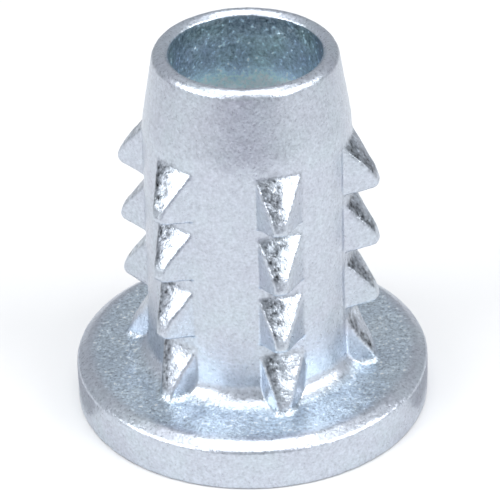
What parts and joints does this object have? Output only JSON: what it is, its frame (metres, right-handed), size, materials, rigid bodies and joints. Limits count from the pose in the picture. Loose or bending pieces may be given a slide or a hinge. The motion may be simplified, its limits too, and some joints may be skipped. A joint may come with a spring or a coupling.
{
  "type": "barbed insert nut",
  "caption": "Knock-in insert nut for wood: a flanged, slightly tapered sleeve with pointed barbs round its stem and a threaded through bore.",
  "frame": {"origin": "centre of the flange's bottom face", "axes": "+Z along the bore from the flange towards the nose; -Y is the side with the barb column 16 degrees to its right"},
  "size_m": [0.0148, 0.0146, 0.0161],
  "materials": {
    "zinc": "satin, as-cast bright zinc with a fine grain"
  },
  "bodies": {
    "root": {"insert_nut": "zinc"}
  },
  "joints": []
}
